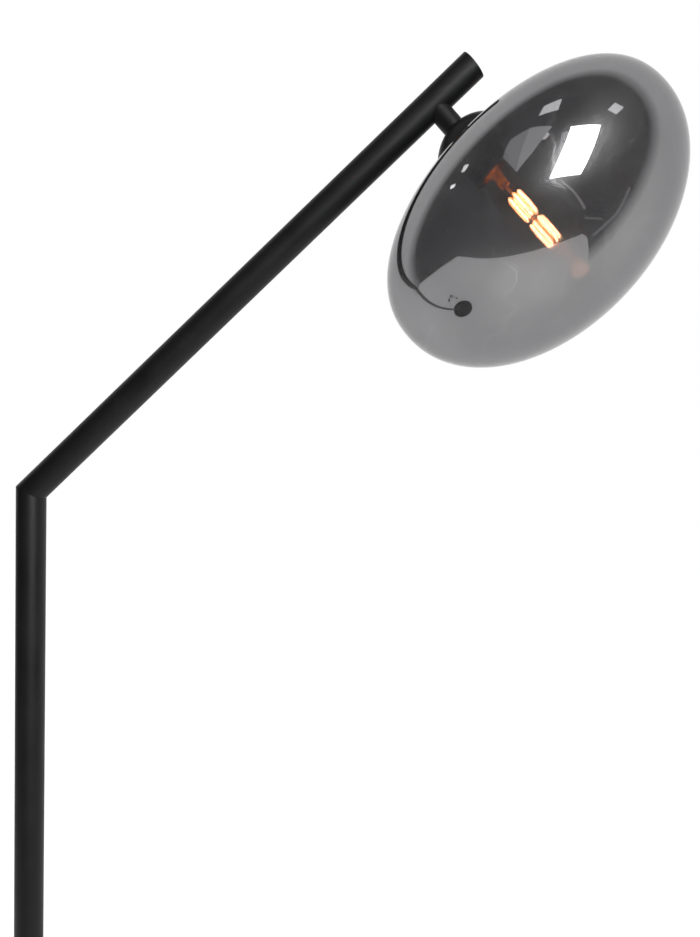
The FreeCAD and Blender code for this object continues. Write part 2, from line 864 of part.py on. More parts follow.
def tierSpots():
    """Start height of each tier and the places of its filaments."""
    count = int(size("tierFilaments"))
    circle = size("filamentCircle")
    for tier in range(2):
        height = filamentStart() + tier * (size("filamentLength") + size("tierGap"))
        for number in range(count):
            angle = math.radians(360 * (number + 0.5) / count)
            yield tier, Vector(circle * math.cos(angle), circle * math.sin(angle), height)


def filamentShape():
    up = Vector(0, 0, size("filamentLength"))
    return Part.makeCompound([rodShape(spot, spot + up, size("filamentRadius")) for _, spot in tierSpots()])


def supportShape():
    """Wire spokes from the rod to both ends of each filament, and the leads up from the stem."""
    wire = size("supportRadius")
    pieces = []
    for tier, spot in tierSpots():
        low = spot - Vector(0, 0, wire)
        high = spot + Vector(0, 0, size("filamentLength") + wire)
        for end in (low, high):
            outward = Vector(end.x, end.y, 0).normalize()
            hub = outward * size("stemRod") + Vector(0, 0, end.z)
            pieces.append(rodShape(hub, end + outward * wire, wire))
    return Part.makeCompound(pieces)


# --- leads inside the lamp ------------------------------------------------------------------


def roundedPath(points, radii):
    """Straight runs joined by tangent arcs of the given radii."""
    edges, start = [], points[0]
    for index, radius in enumerate(radii, start=1):
        here, before, after = points[index], points[index - 1], points[index + 1]
        back = (before - here).normalize()
        ahead = (after - here).normalize()
        half = back.getAngle(ahead) / 2
        trim = radius / math.tan(half)
        first, last = here + back * trim, here + ahead * trim
        bisector = (back + ahead).normalize()
        middle = here + bisector * (radius / math.sin(half) - radius)
        if (first - start).Length > 1e-6:
            edges.append(Part.LineSegment(start, first).toShape())
        edges.append(Part.Arc(first, middle, last).toShape())
        start = last
    edges.append(Part.LineSegment(start, points[-1]).toShape())
    return edges


def tubeAlong(edges, radius, name):
    """Round tube along a path; its volume is held against section times length."""
    wire = Part.Wire(edges)
    start = edges[0].valueAt(edges[0].FirstParameter)
    heading = edges[0].tangentAt(edges[0].FirstParameter)
    profile = Part.Wire([Part.Circle(start, heading, radius).toShape()])
    tube = wire.makePipeShell([profile], True, True)
    expected = math.pi * radius ** 2 * wire.Length
    if abs(tube.Volume - expected) > 0.01 * expected:
        raise ValueError("%s: volume %.0f, expected %.0f" % (name, tube.Volume, expected))
    return tube


def makeLeads():
    """Two single leads from the clamp in the foot up the pole and arm to the lamp holder."""
    kink = Vector(0, 0, size("kinkHeight"))
    head = headOrigin()
    down = FreeCAD.Rotation(Vector(0, 1, 0), 90 + size("armAngle")).multVec(Vector(0, 0, 1))
    points = [
        Vector(-value("leadInEnd"), 0, size("leadDrop")),
        Vector(0, 0, size("leadDrop")),
        kink,
        head,
        head + down * value(crownRim),
    ]
    leads = []
    for side in (-1, 1):
        shift = Vector(0, side * size("leadSpacing"), 0)
        path = roundedPath([point + shift for point in points], [size("footBend"), size("leadKink"), size("leadBend")])
        leads.append(tubeAlong(path, size("leadRadius"), "inner_leads"))
    solidFeature("inner_leads", Part.makeCompound(leads))


# --- mains cord, clamp and grommet -------------------------------------------------------------


def makeCordEntry():
    start = value("leadInEnd")
    stop = size("baseRadius")
    lift = size("cordHeight")
    lead = rodShape(Vector(-stop, 0, lift), Vector(-start, 0, lift), size("cordRadius"))
    solidFeature("cord_lead_in", lead)

    # saddle that holds the cord against the ceiling of the pocket's channel side
    top = value(pocketTop)
    long, wide = size("clampLength"), size("clampWidth")
    under = lift - size("cordRadius") - size("clampTop") + size("seatGap")
    under = max(under, size("padThickness"))
    saddle = Part.makeBox(long, wide, top - under, Vector(-size("clampPlace"), -wide / 2, under))
    groove = rodShape(Vector(-stop, 0, lift), Vector(-start, 0, lift), size("cordRadius") + size("fitGap"))
    saddle = saddle.cut(groove)
    middle = -size("clampPlace") + long / 2
    screws = []
    for side in (-1, 1):
        spot = Vector(middle, side * size("clampScrewSpread"), under)
        saddle = saddle.cut(rodShape(spot, Vector(spot.x, spot.y, top), size("clampScrew") + size("fitGap")))
        screws.append(rodShape(spot, Vector(spot.x, spot.y, top), size("clampScrew")))
    solidFeature("cord_clamp", saddle)
    solidFeature("clamp_screws", Part.makeCompound(screws))

    # grommet in the notch of the cover, with a lip and a tapered strain relief on the outside
    edge = size("baseRadius")
    low = value("padThickness + coverLift")
    half = value("cordRadius + grommetWall - fitGap")
    seat = Part.makeBox(value("coverWall + seatGap"), 2 * half, lift + half - low, Vector(-edge, -half, low))
    lip = Part.makeCylinder(half, size("grommetLip"), Vector(-edge, 0, lift), Vector(-1, 0, 0))
    relief = Part.makeCone(half, value("cordRadius + reliefWall"), size("reliefLength"), Vector(-edge, 0, lift), Vector(-1, 0, 0))
    below = Part.makeBox(value("2*grommetLip + reliefLength"), 4 * half, low,
                         Vector(-edge - value("grommetLip + reliefLength"), -2 * half, 0))
    bore = rodShape(Vector(-edge - value("grommetLip + reliefLength"), 0, lift), Vector(-start, 0, lift),
                    value("cordRadius + fitGap"))
    grommet = seat.fuse(lip).fuse(relief).cut(below).cut(bore)
    solidFeature("cord_grommet", grommet.removeSplitter())


# --- cord on the floor, foot switch, coil and plug ---------------------------------------------


def routeRadii(points):
    """Each arc is as large as its two runs allow: 0.45 of the shorter run over tan(half turn)."""
    radii = []
    for before, here, after in zip(points, points[1:], points[2:]):
        back, ahead = before - here, after - here
        half = (math.pi - back.getAngle(ahead)) / 2
        radii.append(0.45 * min(back.Length, ahead.Length) / math.tan(half))
    return radii


def cordTube(label, points):
    radii = routeRadii(points)
    print(label, "radii", [round(radius) for radius in radii])
    edges = roundedPath(points, radii)
    solidFeature(label, tubeAlong(edges, size("cordRadius"), label))
    print(label, "length", round(sum(edge.Length for edge in edges)))


def switchFrame():
    """Placement of the foot switch: its end meets the end of the route, along its last run."""
    last, end = Vector(*cordRoute[-2]), Vector(*cordRoute[-1])
    heading = (end - last).normalize()
    turn = math.degrees(math.atan2(heading.y, heading.x))
    middle = end + heading * size("switchReach")
    return FreeCAD.Placement(Vector(middle.x, middle.y, 0), FreeCAD.Rotation(Vector(0, 0, 1), turn))


def slotOutline(side, otherSide):
    """Outline with two straight sides, at y = side and y = otherSide, and two round ends."""
    def draw(sketch):
        ends = ("switchReach - switchRadius", "0 - switchReach + switchRadius")
        spots = [(ends[1], otherSide), (ends[0], otherSide), (ends[0], side), (ends[1], side)]
        points = [Vector(value(x), value(y), 0) for x, y in spots]
        lower = sketch.addGeometry(Part.LineSegment(points[0], points[1]), False)
        upper = sketch.addGeometry(Part.LineSegment(points[2], points[3]), False)
        arcs = []
        for formula, quarter in zip(ends, (-math.pi / 2, math.pi / 2)):
            circle = Part.Circle(Vector(value(formula), 0, 0), Vector(0, 0, 1), value(side))
            arcs.append(sketch.addGeometry(Part.ArcOfCircle(circle, quarter, quarter + math.pi), False))
        for (geo, spot), (x, y) in zip(((lower, 1), (lower, 2), (upper, 1), (upper, 2)), spots):
            pin(sketch, geo, spot, x, y)
        joints = ((lower, 2, arcs[0], 1), (arcs[0], 2, upper, 1), (upper, 2, arcs[1], 1), (arcs[1], 2, lower, 1))
        for geo, spot, nextGeo, nextSpot in joints:
            sketch.addConstraint(Sketcher.Constraint("Coincident", geo, spot, nextGeo, nextSpot))
        for arc, formula in zip(arcs, ends):
            index = sketch.addConstraint(Sketcher.Constraint("DistanceX", -1, 1, arc, 3, value(formula)))
            sketch.setExpression("Constraints[%d]" % index, bound(formula))
    return draw


def circleOutline(spots, radius):
    """Circles of one radius at (x, y) formulas."""
    def draw(sketch):
        for x, y in spots:
            circle = Part.Circle(Vector(value(x), value(y), 0), Vector(0, 0, 1), value(radius))
            geo = sketch.addGeometry(circle, False)
            index = sketch.addConstraint(Sketcher.Constraint("Radius", geo, value(radius)))
            sketch.setExpression("Constraints[%d]" % index, bound(radius))
            pin(sketch, geo, 3, x, y)
    return draw


def layer(body, name, draw, low, thickness, kind="PartDesign::Pad"):
    """Adds or cuts a straight layer that starts at a height over the body's XY plane and goes up."""
    sketch = newSketch(body, name + "_outline", "XY_Plane")
    draw(sketch)
    sketch.setExpression("AttachmentOffset.Base.z", bound(low))
    doc.recompute()
    feature = body.newObject(kind, name)
    feature.Profile = sketch
    feature.Reversed = kind == "PartDesign::Pocket"
    tie(feature, Length=thickness)
    body.Tip = feature
    doc.recompute()
    return feature


outerSlot = slotOutline("switchRadius", "0 - switchRadius")
innerSlot = slotOutline("switchRadius - trayWall", "0 - switchRadius + trayWall")
pillars = [("pillarPlace", "0"), ("0 - pillarPlace", "0")]


def makeTray():
    tray = doc.addObject("PartDesign::Body", "switch_tray")
    pocket = "PartDesign::Pocket"
    layer(tray, "tray_block", outerSlot, "0", "trayHeight")
    for name, formula, turn in (("relief_ahead", "switchReach - trayWall", "90"),
                                ("relief_behind", "0 - switchReach + trayWall", "270")):
        relief = tray.newObject("PartDesign::AdditiveCone", name)
        tie(relief, Radius1="sleeveRoot", Radius2="sleeveTip", Height="sleeveReach + trayWall")
        place(relief, x=formula, z="switchCordHeight", turn=turn)
    layer(tray, "tray_hollow", innerSlot, "trayWall", "trayHeight", pocket)
    layer(tray, "screw_bores", circleOutline(pillars, "switchScrewRadius + fitGap"), "0", "trayHeight", pocket)
    layer(tray, "head_bores", circleOutline(pillars, "switchScrewHead + fitGap"), "0", "switchHeadHeight", pocket)
    bore = newSketch(tray, "cord_bore_outline", "YZ_Plane")
    circleOutline([("0", "switchCordHeight")], "cordRadius + fitGap")(bore)
    doc.recompute()
    cordBore = tray.newObject(pocket, "cord_bore")
    cordBore.Profile = bore
    cordBore.Midplane = True
    tie(cordBore, Length="2*switchReach + 2*sleeveReach + 2*trayWall")
    tray.Tip = cordBore
    doc.recompute()
    return keep(tray, "switch_tray")


def makeLid():
    lid = doc.addObject("PartDesign::Body", "switch_lid")
    pocket = "PartDesign::Pocket"
    block = layer(lid, "lid_block", outerSlot, "trayHeight", "lidHeight")
    top = value("trayHeight + lidHeight")
    rim = ["Edge%d" % number for number, edge in enumerate(block.Shape.Edges, start=1)
           if abs(edge.BoundBox.ZMin - top) < 1e-3]
    rounding = lid.newObject("PartDesign::Fillet", "lid_rounding")
    rounding.Base = (block, rim)
    tie(rounding, Radius="lidRound")
    lid.Tip = rounding
    doc.recompute()
    layer(lid, "lid_hollow", innerSlot, "trayHeight", "lidHeight - lidRound", pocket)
    layer(lid, "button_hole", circleOutline([("0", "0")], "buttonRadius + buttonGap"), "trayHeight", "lidHeight", pocket)
    layer(lid, "pillars", circleOutline(pillars, "pillarRadius"), "trayWall + seatGap",
          "trayHeight + lidHeight - lidRound - trayWall - seatGap")
    layer(lid, "pillar_bores", circleOutline(pillars, "switchScrewRadius + fitGap"), "trayWall",
          "trayHeight - trayWall + 0.5*lidHeight", pocket)
    return keep(lid, "switch_lid")


def makeButton():
    flangeTop = "trayHeight + lidHeight - lidRound - seatGap"
    crownTop = "trayHeight + lidHeight + buttonProud"
    return turned("switch_button", [
        ("0", flangeTop + " - buttonFlange"),
        ("buttonRadius + buttonFlange", flangeTop + " - buttonFlange"),
        ("buttonRadius + buttonFlange", flangeTop),
        ("buttonRadius", flangeTop),
        ("buttonRadius", crownTop + " - buttonRound"),
        ("buttonRadius - buttonRound", crownTop, "buttonRound", 1),
        ("0", crownTop),
    ])


def makeSpring():
    """Coil spring of eight-sided wire, in straight steps around its helix."""
    low = value("trayWall + seatGap + springWire")
    high = value("trayHeight + lidHeight - lidRound - 2*seatGap - buttonFlange - springWire")
    steps = int(size("springTurns") * size("springSteps"))
    points = []
    for step in range(steps + 1):
        turn = 2 * math.pi * step / size("springSteps")
        points.append(Vector(math.cos(turn), math.sin(turn), 0) * size("springRadius"))
        points[-1].z = low + (high - low) * step / steps
    ahead = (points[1] - points[0]).normalize()
    outward = Vector(0, 0, 1).cross(ahead).normalize()
    corners = []
    for corner in range(8):
        around = FreeCAD.Rotation(ahead, 45 * corner)
        corners.append(points[0] + around.multVec(outward) * size("springWire"))
    section = Part.makePolygon(corners + corners[:1])
    spring = Part.makePolygon(points).makePipeShell([section], True, False, 1)
    return solidFeature("switch_spring", spring)


def makeSwitchScrews():
    screws = []
    for formula, _ in pillars:
        spot = Vector(value(formula), 0, size("fitGap"))
        head = Part.makeCylinder(size("switchScrewHead"), value("switchHeadHeight - fitGap"), spot)
        shank = Part.makeCylinder(size("switchScrewRadius"), value("trayHeight + 0.5*lidHeight - seatGap"), spot)
        screws.append(head.fuse(shank).removeSplitter())
    return solidFeature("switch_screws", Part.makeCompound(screws))


def makeSwitch():
    frame = switchFrame()
    for thing in (makeTray(), makeLid(), makeButton(), makeSpring(), makeSwitchScrews()):
        thing.Placement = frame


def makeCord():
    frame = switchFrame()
    cordTube("mains_cord", [Vector(*point) for point in cordRoute])
    cordTube("cord_tail", [frame.multVec(Vector(*point)) for point in tailRoute])
    cordTube("cord_end", [frame.multVec(Vector(*point)) for point in endRoute])
    middle = Vector(size("coilAhead"), size("coilLeft"), size("coilThick"))
    solidFeature("cord_coil", Part.makeTorus(size("coilRadius"), size("coilThick"), middle)).Placement = frame


def makePlug():
    """Flat two-pin plug at the end of the route, pointing on along its last run."""
    last, end = Vector(*endRoute[-2]), Vector(*endRoute[-1])
    heading = end - last
    turn = math.degrees(math.atan2(heading.y, heading.x))
    frame = switchFrame().multiply(FreeCAD.Placement(end, FreeCAD.Rotation(Vector(0, 0, 1), turn)))
    neck, long, high = size("plugNeck"), size("plugLength"), size("plugHeight")
    nose, wide = size("plugNose") / 2, size("plugWidth") / 2
    waist = neck + 0.6 * long
    sides = [(neck, -nose), (waist, -wide), (neck + long, -wide), (neck + long, wide), (waist, wide), (neck, nose)]
    corners = [Vector(x, y, -high / 2) for x, y in sides]
    block = Part.Face(Part.makePolygon(corners + corners[:1])).extrude(Vector(0, 0, high))
    block = block.makeFillet(size("plugRound"), block.Edges)
    taper = Part.makeCone(value("cordRadius + reliefWall"), 0.45 * high, neck + size("plugRound"), Vector(0, 0, 0), Vector(1, 0, 0))
    solidFeature("plug_body", block.fuse(taper).removeSplitter()).Placement = frame
    pins = []
    for side in (-0.5, 0.5):
        start = Vector(neck + long, side * size("pinSpread"), 0)
        pins.append(Part.makeCylinder(size("pinRadius"), size("pinLength"), start, Vector(1, 0, 0)))
    solidFeature("plug_pins", Part.makeCompound(pins)).Placement = frame


doc.recompute()
makePad()
makeWeight()
makeCover()
makeStud()
makePole()
makeUpperPole()
makeArm()
makeNeck()
makeDome()
makeGlobe()
makeHolder()
makeBulb()
makeLeads()
makeCordEntry()
makeSwitch()
makeCord()
makePlug()

doc.recompute()
for thing in doc.Objects:
    if "Invalid" in thing.State or "Error" in thing.State:
        raise ValueError("%s failed: %s" % (thing.Name, thing.State))
os.makedirs("parts", exist_ok=True)
for thing in subParts:
    if thing.Shape.isNull() or not thing.Shape.isValid():
        raise ValueError("%s has no valid shape" % thing.Label)
    thing.Shape.exportStep("parts/%s.step" % thing.Label)
print(len(subParts), "sub-parts written")
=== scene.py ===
import math

import bpy
import numpy as np
from mathutils import Euler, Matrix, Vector


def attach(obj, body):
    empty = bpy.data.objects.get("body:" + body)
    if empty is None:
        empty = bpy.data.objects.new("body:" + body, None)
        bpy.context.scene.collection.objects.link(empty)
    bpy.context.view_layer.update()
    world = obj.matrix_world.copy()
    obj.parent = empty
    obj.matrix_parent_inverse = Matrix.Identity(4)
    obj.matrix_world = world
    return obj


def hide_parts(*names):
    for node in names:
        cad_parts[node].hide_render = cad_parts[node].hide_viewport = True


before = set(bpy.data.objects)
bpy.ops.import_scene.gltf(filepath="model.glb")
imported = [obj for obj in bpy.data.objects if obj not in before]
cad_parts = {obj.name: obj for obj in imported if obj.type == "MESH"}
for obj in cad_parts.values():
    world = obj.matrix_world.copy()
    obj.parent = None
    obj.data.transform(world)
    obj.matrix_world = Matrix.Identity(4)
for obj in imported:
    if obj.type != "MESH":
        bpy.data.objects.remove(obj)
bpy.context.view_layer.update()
scene = bpy.context.scene

# ---- frame facts shared by the pieces (metres) ----

lamp = {
    "kink": (0.0, 0.0, 1.1),
    "armAngle": math.radians(45),
    "neckOffset": 0.503,
}
armWay = np.array([math.cos(lamp["armAngle"]), 0.0, math.sin(lamp["armAngle"])])
# where the neck's axis meets the arm's
headPoint = np.array(lamp["kink"]) + armWay * lamp["neckOffset"]
neckWay = np.array([math.sin(lamp["armAngle"]), 0.0, -math.cos(lamp["armAngle"])])
sideWay = np.array([0.0, 1.0, 0.0])
crossWay = np.cross(neckWay, sideWay)


# ---- camera ----

view = {
    "place": (0.48745, -0.79679, 1.15394),
    "turn": (84.8499, -3.1184, 3.0924),
    "focal": 34.317,
    "shift": (-0.17759, 0.07613),
}


def addCamera():
    data = bpy.data.cameras.new("photoView")
    data.sensor_fit = "AUTO"
    data.sensor_width = 36
    data.lens = view["focal"]
    data.shift_x, data.shift_y = view["shift"]
    data.clip_start = 0.01
    camera = bpy.data.objects.new("photoView", data)
    camera.location = view["place"]
    camera.rotation_euler = Euler([math.radians(angle) for angle in view["turn"]], "XYZ")
    scene.collection.objects.link(camera)
    scene.camera = camera


# ---- mesh helpers ----


def gridFaces(rows, columns):
    # quads between neighbouring rows of points, each row closed into a ring
    down, across = np.meshgrid(np.arange(rows - 1), np.arange(columns), indexing="ij")
    nextDown, nextAcross = down + 1, (across + 1) % columns
    corners = [down * columns + across, nextDown * columns + across,
               nextDown * columns + nextAcross, down * columns + nextAcross]
    return np.stack(corners, -1).reshape(-1, 4)


def addMesh(name, points, faces, material=None, smooth=True):
    mesh = bpy.data.meshes.new(name)
    mesh.from_pydata(np.asarray(points).tolist(), [], [list(map(int, face)) for face in faces])
    mesh.validate()
    mesh.polygons.foreach_set("use_smooth", np.full(len(mesh.polygons), smooth))
    if material:
        mesh.materials.append(material)
    thing = bpy.data.objects.new(name, mesh)
    scene.collection.objects.link(thing)
    return thing


def onNeck(radius, along, angle):
    # point at a distance along the neck's axis from the arm's axis, at a radius and an angle around it
    radius, along, angle = np.broadcast_arrays(radius, along, angle)
    return (headPoint + along[..., None] * neckWay + (radius * np.cos(angle))[..., None] * sideWay
            + (radius * np.sin(angle))[..., None] * crossWay)


def turnedOnNeck(name, profile, steps, material):
    # surface of revolution: each (radius, along) of the profile is carried around the neck's axis
    profile = np.asarray(profile)
    angle = np.linspace(0, 2 * np.pi, steps, endpoint=False)
    points = onNeck(profile[:, :1], profile[:, 1:], angle[None, :])
    return addMesh(name, points.reshape(-1, 3), gridFaces(len(profile), steps), material)


# ---- material helpers ----


def newMaterial(name, **values):
    # a material with one Principled shader; the values are set on the shader's own sockets
    material = bpy.data.materials.new(name)
    material.use_nodes = True
    nodes, links = material.node_tree.nodes, material.node_tree.links
    shader = nodes["Principled BSDF"]
    for socket, value in values.items():
        shader.inputs[socket].default_value = value
    return material, nodes, links, shader


def objectPattern(nodes, links, scale, detail=4.0, kind="ShaderNodeTexNoise"):
    # a pattern on Object coordinates
    place = nodes.new("ShaderNodeTexCoord")
    pattern = nodes.new(kind)
    pattern.inputs["Scale"].default_value = scale
    pattern.inputs["Detail"].default_value = detail
    links.new(place.outputs["Object"], pattern.inputs["Vector"])
    return pattern


def spread(nodes, links, source, low, high, toLow, toHigh):
    # a value remapped from one range to another, clamped
    ranger = nodes.new("ShaderNodeMapRange")
    for socket, value in zip(("From Min", "From Max", "To Min", "To Max"), (low, high, toLow, toHigh)):
        ranger.inputs[socket].default_value = value
    links.new(source, ranger.inputs["Value"])
    return ranger.outputs["Result"]


def mixColours(nodes, links, mask, first, second):
    blend = nodes.new("ShaderNodeMix")
    blend.data_type = "RGBA"
    links.new(mask, blend.inputs["Factor"])
    blend.inputs["A"].default_value = (*first, 1)
    blend.inputs["B"].default_value = (*second, 1)
    return blend.outputs["Result"]


def bumpFrom(nodes, links, shader, height, strength, distance):
    bump = nodes.new("ShaderNodeBump")
    bump.inputs["Strength"].default_value = strength
    bump.inputs["Distance"].default_value = distance
    links.new(height, bump.inputs["Height"])
    links.new(bump.outputs["Normal"], shader.inputs["Normal"])


def newGroup(name, inputs, outputs):
    # a node group: value inputs with their defaults, and outputs by name and socket type
    group = bpy.data.node_groups.new(name, "ShaderNodeTree")
    for label, value in inputs.items():
        socket = group.interface.new_socket(label, in_out="INPUT", socket_type="NodeSocketFloat")
        socket.default_value = value
    for label, kind in outputs.items():
        group.interface.new_socket(label, in_out="OUTPUT", socket_type=kind)
    nodes = group.nodes
    return group, nodes, group.links, nodes.new("NodeGroupInput"), nodes.new("NodeGroupOutput")


def useGroup(nodes, group, **values):
    user = nodes.new("ShaderNodeGroup")
    user.node_tree = group
    for label, value in values.items():
        user.inputs[label].default_value = value
    return user


def combine(nodes, links, operation, first, second):
    # two values joined by a sum, product or maximum; the second may be a plain number
    result = nodes.new("ShaderNodeMath")
    result.operation = operation
    links.new(first, result.inputs[0])
    if isinstance(second, (int, float)):
        result.inputs[1].default_value = second
    else:
        links.new(second, result.inputs[1])
    return result.outputs["Value"]


grainRatio = 14  # how much finer a finish's grain is than its drift of tone


def surfaceTones():
    # two patterns that every finish shares: a broad drift of tone and a fine grain
    group, nodes, links, given, out = newGroup(
        "surfaceTones", {"Scale": 30.0}, {"Broad": "NodeSocketFloat", "Fine": "NodeSocketFloat"})
    broad = objectPattern(nodes, links, 1.0)
    fine = objectPattern(nodes, links, 1.0, 2.0)
    links.new(given.outputs["Scale"], broad.inputs["Scale"])
    links.new(combine(nodes, links, "MULTIPLY", given.outputs["Scale"], grainRatio), fine.inputs["Scale"])
    links.new(broad.outputs["Fac"], out.inputs["Broad"])
    links.new(fine.outputs["Fac"], out.inputs["Fine"])
    return group


sharedTones = surfaceTones()


def mottled(name, darker, lighter, rough, scale, bump=0.0, depth=0.0002, **values):
    # two close tones and a roughness that drift over the surface, with a fine bump
    material, nodes, links, shader = newMaterial(name, **values)
    tones = useGroup(nodes, sharedTones, Scale=scale)
    links.new(mixColours(nodes, links, tones.outputs["Broad"], darker, lighter), shader.inputs["Base Color"])
    links.new(spread(nodes, links, tones.outputs["Broad"], 0.3, 0.7, *rough), shader.inputs["Roughness"])
    if bump:
        bumpFrom(nodes, links, shader, tones.outputs["Fine"], bump, depth)
    return material


finishes = {
    "coat": mottled("blackPowderCoat", (0.004, 0.004, 0.0045), (0.006, 0.006, 0.0066),
                      (0.42, 0.52), 30, 0.25, 0.00015,
                      **{"Specular IOR Level": 0.3}),
    "steel": mottled("zincSteel", (0.42, 0.42, 0.41), (0.60, 0.60, 0.58),
                      (0.28, 0.42), 90, 0.1, Metallic=1.0),
    "iron": mottled("castIron", (0.05, 0.05, 0.05), (0.11, 0.105, 0.1), (0.65, 0.85), 60, 0.6, 0.0006),
    "foam": mottled("foamPad", (0.012, 0.012, 0.013), (0.022, 0.022, 0.023),
                      (0.85, 0.95), 120, 0.6, 0.0004),
    "rubber": mottled("softRubber", (0.012, 0.012, 0.012), (0.02, 0.02, 0.02), (0.5, 0.62), 80, 0.15),
    "plastic": mottled("blackPlastic", (0.010, 0.010, 0.0105), (0.016, 0.016, 0.017),
                      (0.34, 0.44), 70, 0.2, 0.0001),
    "porcelain": mottled("glazedPorcelain", (0.62, 0.60, 0.56), (0.72, 0.70, 0.66), (0.12, 0.2), 60),
    "brass": mottled("rolledBrass", (0.50, 0.36, 0.16), (0.66, 0.50, 0.26),
                      (0.2, 0.34), 200, 0.1, Metallic=1.0),
    "wire": mottled("supportWire", (0.30, 0.27, 0.24), (0.42, 0.38, 0.33),
                      (0.3, 0.4), 300, Metallic=1.0),
    "sheath": mottled("cordSheath", (0.010, 0.010, 0.010), (0.017, 0.017, 0.017),
                      (0.42, 0.52), 90, 0.1, 0.0001),
}

finishOfNode = {
    "coat": ["base_cover", "pole_lower", "pole_upper", "arm_tube", "arm_cap", "neck_tube", "dome_cap",
             "cap_screws"],
    "steel": ["base_stud", "base_washer", "base_nut", "pole_foot", "pole_joiner", "neck_nut", "neck_nipple",
              "cap_locknut", "bulb_tip", "clamp_screws", "switch_spring", "switch_screws"],
    "iron": ["base_weight"],
    "foam": ["base_pad"],
    "rubber": ["globe_gasket", "cord_grommet"],
    "plastic": ["holder_crown", "holder_skirt", "cord_clamp", "switch_tray", "switch_lid", "switch_button",
                "plug_body"],
    "porcelain": ["holder_insert", "bulb_insulator"],
    "brass": ["holder_shell", "holder_contact", "bulb_cap", "plug_pins"],
    "wire": ["bulb_supports"],
    "sheath": ["inner_leads", "cord_lead_in", "mains_cord", "cord_tail", "cord_coil", "cord_end"],
}


def dress(name, material):
    # one material on a CAD node
    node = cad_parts[name]
    node.data.materials.clear()
    node.data.materials.append(material)


def dressNodes():
    for finish, names in finishOfNode.items():
        for name in names:
            dress(name, finishes[finish])
    print("CAD nodes dressed")


# ---- the blown glass globe ----

globe = {
    "centre": 0.1341,  # along the neck from the arm's axis
    "radius": 0.150,
    "upper": 0.082,
    "lower": 0.099,
    "upperPower": 2.26,
    "lowerPower": 2.02,
    "wall": 0.0022,
    "lipRadius": 0.0325,
    "lipStart": 0.0475,
    "lipRound": 0.0007,
    "lipDrop": 0.0008,
    "lipClear": 0.004,  # how far outside the lip the oval's first row lies
    "innerClear": 0.002,
    "footDrop": 0.0015,  # the fillet between lip and oval
    "footReach": 0.0012,
    "footEnd": 0.0003,
    "innerRise": 0.001,
    "poleRadius": 0.00001,
    "steps": 256,
    "rows": 150,
}


def ovalProfile(inset, lipRadius):
    # half outline from the lip to the bottom: (r/radius)^p + (h/height)^p = 1,
    # with its own height and power above and below
    radius = globe["radius"] - inset
    turn = np.linspace(0, np.pi, globe["rows"])
    power = np.where(turn < np.pi / 2, globe["upperPower"], globe["lowerPower"])
    height = np.where(turn < np.pi / 2, globe["upper"], globe["lower"]) - inset
    across = radius * np.abs(np.sin(turn)) ** (2 / power)
    along = globe["centre"] - np.sign(np.cos(turn)) * height * np.abs(np.cos(turn)) ** (2 / power)
    keepRow = (across > lipRadius) | (turn > np.pi / 2)
    return np.stack([across, along], 1)[keepRow]


def makeGlobe():
    neckOuter, neckInner = globe["lipRadius"], globe["lipRadius"] - globe["wall"]
    outer = ovalProfile(0, neckOuter + globe["lipClear"])
    inner = ovalProfile(globe["wall"], neckOuter + globe["innerClear"])
    outer[-1, 0] = inner[-1, 0] = globe["poleRadius"]
    innerStart, outerStart = inner[0, 1], outer[0, 1]
    lip, turn, drop = globe["lipStart"], globe["lipRound"], globe["lipDrop"]
    rimUp = [(neckInner, innerStart + globe["innerRise"]), (neckInner, lip + drop), (neckInner + turn, lip),
             (neckOuter - turn, lip), (neckOuter, lip + drop), (neckOuter, outerStart - globe["footDrop"]),
             (neckOuter + globe["footReach"], outerStart - globe["footEnd"])]
    profile = np.concatenate([inner[::-1], np.array(rimUp), outer])
    thing = turnedOnNeck("globeGlass", profile[::-1], globe["steps"], smokedGlass())
    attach(thing, "stand")
    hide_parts("glass_globe")
    print("globe", len(thing.data.polygons), "faces")


glassLook = {
    "tone": (0.40, 0.395, 0.405, 1),
    "mirror": 0.46,
    "edgeTone": (0.55, 0.55, 0.56, 1),
    "hazeRough": 0.34,
    "hazeIor": 2.4,
    "haze": 0.75,
    "leastHaze": 0.08,
    "cloudScale": 11,
    "cloudBand": (0.35, 0.72),
    "scratch": 0.30,
    "swirlScale": 7,
    "swirlBend": 14.0,
    "swirlDetail": 1.3,
    "swirlBand": (0.985, 1.0),
    "dustScale": 900,
    "dustBand": (0.74, 0.80),
    "rimBand": (0.35, 0.75),
    "rimShare": 0.05,
}


def wipeMarks():
    # traces of a wiping cloth: cloudy haze, curved hair lines and sparse dust, as one mask
    group, nodes, links, given, out = newGroup("wipeMarks", {}, {"Haze": "NodeSocketFloat"})
    cloud = objectPattern(nodes, links, glassLook["cloudScale"], 5.0)
    swirl = objectPattern(nodes, links, glassLook["swirlScale"], 3.0, kind="ShaderNodeTexWave")
    swirl.inputs["Distortion"].default_value = glassLook["swirlBend"]
    swirl.inputs["Detail Scale"].default_value = glassLook["swirlDetail"]
    dust = objectPattern(nodes, links, glassLook["dustScale"], 0.0)
    total = spread(nodes, links, cloud.outputs["Fac"], *glassLook["cloudBand"],
                   glassLook["leastHaze"], glassLook["haze"])
    for pattern, band in ((swirl, "swirlBand"), (dust, "dustBand")):
        mark = spread(nodes, links, pattern.outputs["Fac"], *glassLook[band], 0, glassLook["scratch"])
        total = combine(nodes, links, "ADD", total, mark)
    links.new(total, out.inputs["Haze"])
    return group


